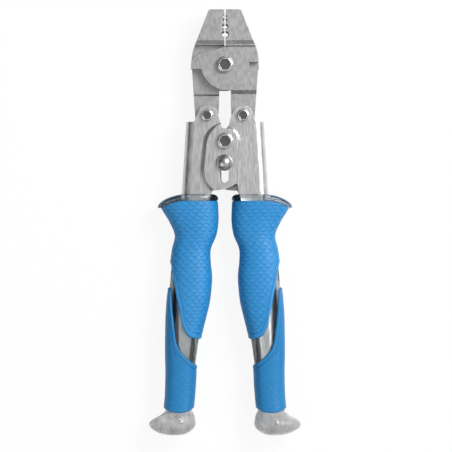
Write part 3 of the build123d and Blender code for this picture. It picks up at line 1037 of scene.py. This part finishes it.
@dataclass
class Grip:
    """One grip: a clear core and two rubber sleeves."""

    side: Side
    rubber: bpy.types.Material
    plastic: bpy.types.Material
    form: GripForm = field(default_factory=GripForm)

    def make(self) -> None:
        """Build, dress and place the grip's three pieces."""
        word = self.side.word
        core = ClearCore(self.form).make(self.side)
        pieces = [(core, self.plastic, "clear_plastic", f"{word}_grip_core")]
        for skin in Skin:
            sleeve = Sleeve(self.form, skin).make(self.side)
            pieces.append((sleeve, self.rubber, "blue_rubber", f"{word}_{skin.value}_sleeve"))
        for piece, finish, slot, node in pieces:
            piece.data.materials.clear()
            piece.data.materials.append(finish)
            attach(piece, f"{word}_arm")
            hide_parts(node)
            LOG.info("made %s with %d faces", piece.name, len(piece.data.polygons))


# The steel pieces


@dataclass
class Steelwork:
    """The steel nodes that keep their shape and get their finishes.

    The sockets list each bolt's socket radius across its corners, in metres.
    """

    jaw: Steel = Steel(
        name="jaw_steel",
        dark=(0.40, 0.40, 0.40),
        light=(0.48, 0.48, 0.48),
        grain=(700.0, 260.0, 700.0),
        roughness=(0.36, 0.46),
    )
    arm: Steel = Steel(
        name="arm_steel",
        dark=(0.54, 0.535, 0.53),
        light=(0.69, 0.685, 0.68),
        grain=(1300.0, 160.0, 1300.0),
        roughness=(0.3, 0.42),
    )
    screw: Steel = Steel(
        name="screw_steel",
        dark=(0.6, 0.6, 0.6),
        light=(0.76, 0.76, 0.76),
        grain=(1500.0, 1500.0, 60.0),
        roughness=(0.16, 0.26),
    )
    knob: Steel = Steel(
        name="knob_steel",
        dark=(0.48, 0.48, 0.48),
        light=(0.58, 0.58, 0.58),
        grain=(900.0, 900.0, 900.0),
        roughness=(0.24, 0.3),
    )
    sockets: dict[str, float] = field(
        default_factory=lambda: {
            "jaw_pivot_bolt": 0.00355,
            "right_link_bolt": 0.00272,
            "left_link_bolt": 0.00272,
            "handle_pivot_bolt": 0.00355,
        }
    )

    def socketed(self, name: str) -> bpy.types.Material:
        """Screw steel with painted shade in the hex socket in the head of one bolt.

        Args:
            name: the bolt's node.

        Returns:
            The finished steel.
        """
        low, high = (Vector(corner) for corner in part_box(name))
        middle = (low + high) / 2
        socket = Socket(Vector((middle.x, middle.y, high.z)), self.sockets[name])
        return replace(self.screw, name=f"{name}_steel", socket=socket).make()

    def dress(self) -> None:
        """Give every steel node its finish."""
        made = {kind: getattr(self, kind).make() for kind in ("jaw", "arm", "screw", "knob")}
        for name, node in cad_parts.items():
            if name.endswith(("_grip_core", "_upper_sleeve", "_lower_sleeve")):
                continue
            finish = made.get(name.rsplit("_", 1)[-1], made["screw"])
            if name in self.sockets:
                finish = self.socketed(name)
            node.data.materials.clear()
            node.data.materials.append(finish)
            LOG.info("dressed %s in %s", name, finish.name)


# Camera, light and floor


@dataclass(frozen=True)
class Lamp:
    """A soft square lamp: where it hangs, the length of its side and its power in watts."""

    name: str
    place: tuple[float, float, float]
    size: float
    power: float


@dataclass
class Studio:
    """The camera straight above, a pale floor and soft light from the upper right.

    The room's tones are read from left to right and from straight below to straight above.
    """

    centre: tuple[float, float] = (0.0006, -0.0507)
    width: float = 0.2712
    distance: float = 1.6
    mid_z: float = 0.0125
    key: Lamp = Lamp("key", (0.55, 0.35, 0.75), 0.5, 9.0)
    fill: Lamp = Lamp("fill", (-0.6, -0.5, 0.8), 0.8, 2.5)
    room_light: float = 0.61
    room_across: tuple[tuple[float, float], ...] = (
        (0.0, 0.25),
        (0.3, 0.3),
        (0.55, 0.9),
        (0.8, 1.35),
        (1.0, 0.9),
    )
    room_upward: tuple[tuple[float, float], ...] = (
        (0.0, 0.8),
        (0.5, 0.32),
        (0.62, 0.5),
        (0.8, 1.0),
        (1.0, 1.12),
    )
    floor_size: float = 6.0
    floor_z: float = -0.0002
    floor_tone: float = 0.9
    floor_glow: float = 0.9

    def camera(self) -> None:
        """Place the camera straight above, with a long lens as in the photograph."""
        data = bpy.data.cameras.new("view")
        data.sensor_width = 36.0
        data.lens = data.sensor_width * self.distance / self.width
        camera = bpy.data.objects.new("view", data)
        camera.location = (*self.centre, self.mid_z + self.distance)
        data.clip_start = 0.01
        data.clip_end = 20.0
        bpy.context.scene.collection.objects.link(camera)
        bpy.context.scene.camera = camera

    def hang(self, lamp: Lamp) -> None:
        """Hang one lamp and point it at the pliers.

        Args:
            lamp: the lamp to hang.
        """
        data = bpy.data.lights.new(lamp.name, "AREA")
        data.size = lamp.size
        data.energy = lamp.power
        hung = bpy.data.objects.new(lamp.name, data)
        hung.location = lamp.place
        aim = Vector((*self.centre, 0.0)) - Vector(lamp.place)
        hung.rotation_euler = aim.to_track_quat("-Z", "Y").to_euler()
        bpy.context.scene.collection.objects.link(hung)

    def room_tone(
        self, tree: bpy.types.NodeTree, axis: bpy.types.NodeSocket, stops: tuple[tuple[float, float], ...]
    ) -> bpy.types.NodeSocket:
        """Read a grey tone along one axis of the room.

        Args:
            tree: the world's node tree.
            axis: the direction's part along the axis, from -1 to 1.
            stops: the places and tones, with places from 0 to 1.

        Returns:
            The tone as a colour.
        """
        shift = tree.nodes.new("ShaderNodeMapRange")
        shift.inputs["From Min"].default_value = -1.0
        ramp = tree.nodes.new("ShaderNodeValToRGB")
        elements = ramp.color_ramp.elements
        while len(elements) < len(stops):
            elements.new(0.5)
        for element, (place, tone) in zip(elements, stops):
            element.position = place
            element.color = (tone, tone, tone, 1)
        tree.links.new(axis, shift.inputs["Value"])
        tree.links.new(shift.outputs["Result"], ramp.inputs["Fac"])
        return ramp.outputs["Color"]

    def world(self) -> None:
        """A room that the camera sees as white, and that is darker to the left and at the horizon."""
        world = bpy.data.worlds.new("room")
        bpy.context.scene.world = world
        world.use_nodes = True
        tree = world.node_tree
        nodes = tree.nodes
        links = tree.links
        nodes.clear()
        output = nodes.new("ShaderNodeOutputWorld")
        shown = nodes.new("ShaderNodeBackground")
        shown.inputs["Color"].default_value = (1, 1, 1, 1)
        lit = nodes.new("ShaderNodeBackground")
        lit.inputs["Strength"].default_value = self.room_light
        direction = nodes.new("ShaderNodeTexCoord")
        split = nodes.new("ShaderNodeSeparateXYZ")
        links.new(direction.outputs["Generated"], split.inputs["Vector"])
        product = nodes.new("ShaderNodeMix")
        product.data_type = "RGBA"
        product.blend_type = "MULTIPLY"
        product.inputs["Factor"].default_value = 1.0
        links.new(self.room_tone(tree, split.outputs["X"], self.room_across), product.inputs["A"])
        links.new(self.room_tone(tree, split.outputs["Z"], self.room_upward), product.inputs["B"])
        links.new(product.outputs["Result"], lit.inputs["Color"])
        path = nodes.new("ShaderNodeLightPath")
        choose = nodes.new("ShaderNodeMixShader")
        links.new(path.outputs["Is Camera Ray"], choose.inputs["Fac"])
        links.new(lit.outputs["Background"], choose.inputs[1])
        links.new(shown.outputs["Background"], choose.inputs[2])
        links.new(choose.outputs["Shader"], output.inputs["Surface"])

    def floor(self) -> None:
        """A pale sheet under the pliers that keeps their shadow."""
        deselect_all()
        bpy.ops.mesh.primitive_plane_add(size=self.floor_size, location=(0, 0, self.floor_z))
        floor = bpy.context.object
        floor.name = "floor"
        material = bpy.data.materials.new("pale_sheet")
        material.use_nodes = True
        nodes = material.node_tree.nodes
        links = material.node_tree.links
        surface = nodes["Principled BSDF"]
        surface.inputs["Base Color"].default_value = (self.floor_tone, self.floor_tone, self.floor_tone, 1)
        surface.inputs["Roughness"].default_value = 0.9
        glow = nodes.new("ShaderNodeEmission")
        glow.inputs["Strength"].default_value = 1.0
        path = nodes.new("ShaderNodeLightPath")
        mix = nodes.new("ShaderNodeMixShader")
        share = nodes.new("ShaderNodeMath")
        share.operation = "MULTIPLY"
        share.inputs[1].default_value = self.floor_glow
        links.new(path.outputs["Is Camera Ray"], share.inputs[0])
        links.new(share.outputs["Value"], mix.inputs["Fac"])
        links.new(surface.outputs["BSDF"], mix.inputs[1])
        links.new(glow.outputs["Emission"], mix.inputs[2])
        links.new(mix.outputs["Shader"], nodes["Material Output"].inputs["Surface"])
        floor.data.materials.append(material)

    def make(self) -> None:
        """Set up the camera, lamps, world and floor."""
        self.camera()
        self.world()
        self.floor()
        self.hang(self.key)
        self.hang(self.fill)
        bpy.context.scene.view_settings.view_transform = "Standard"


def main() -> None:
    """Build the pliers' visible pieces in order."""
    logging.basicConfig(level=logging.INFO, format="%(message)s")
    Studio().make()
    Steelwork().dress()
    rubber = ScaleRubber().make()
    plastic = ClearPlastic().make()
    for side in Side:
        Grip(side, rubber, plastic).make()


if __name__ == "__main__":
    main()
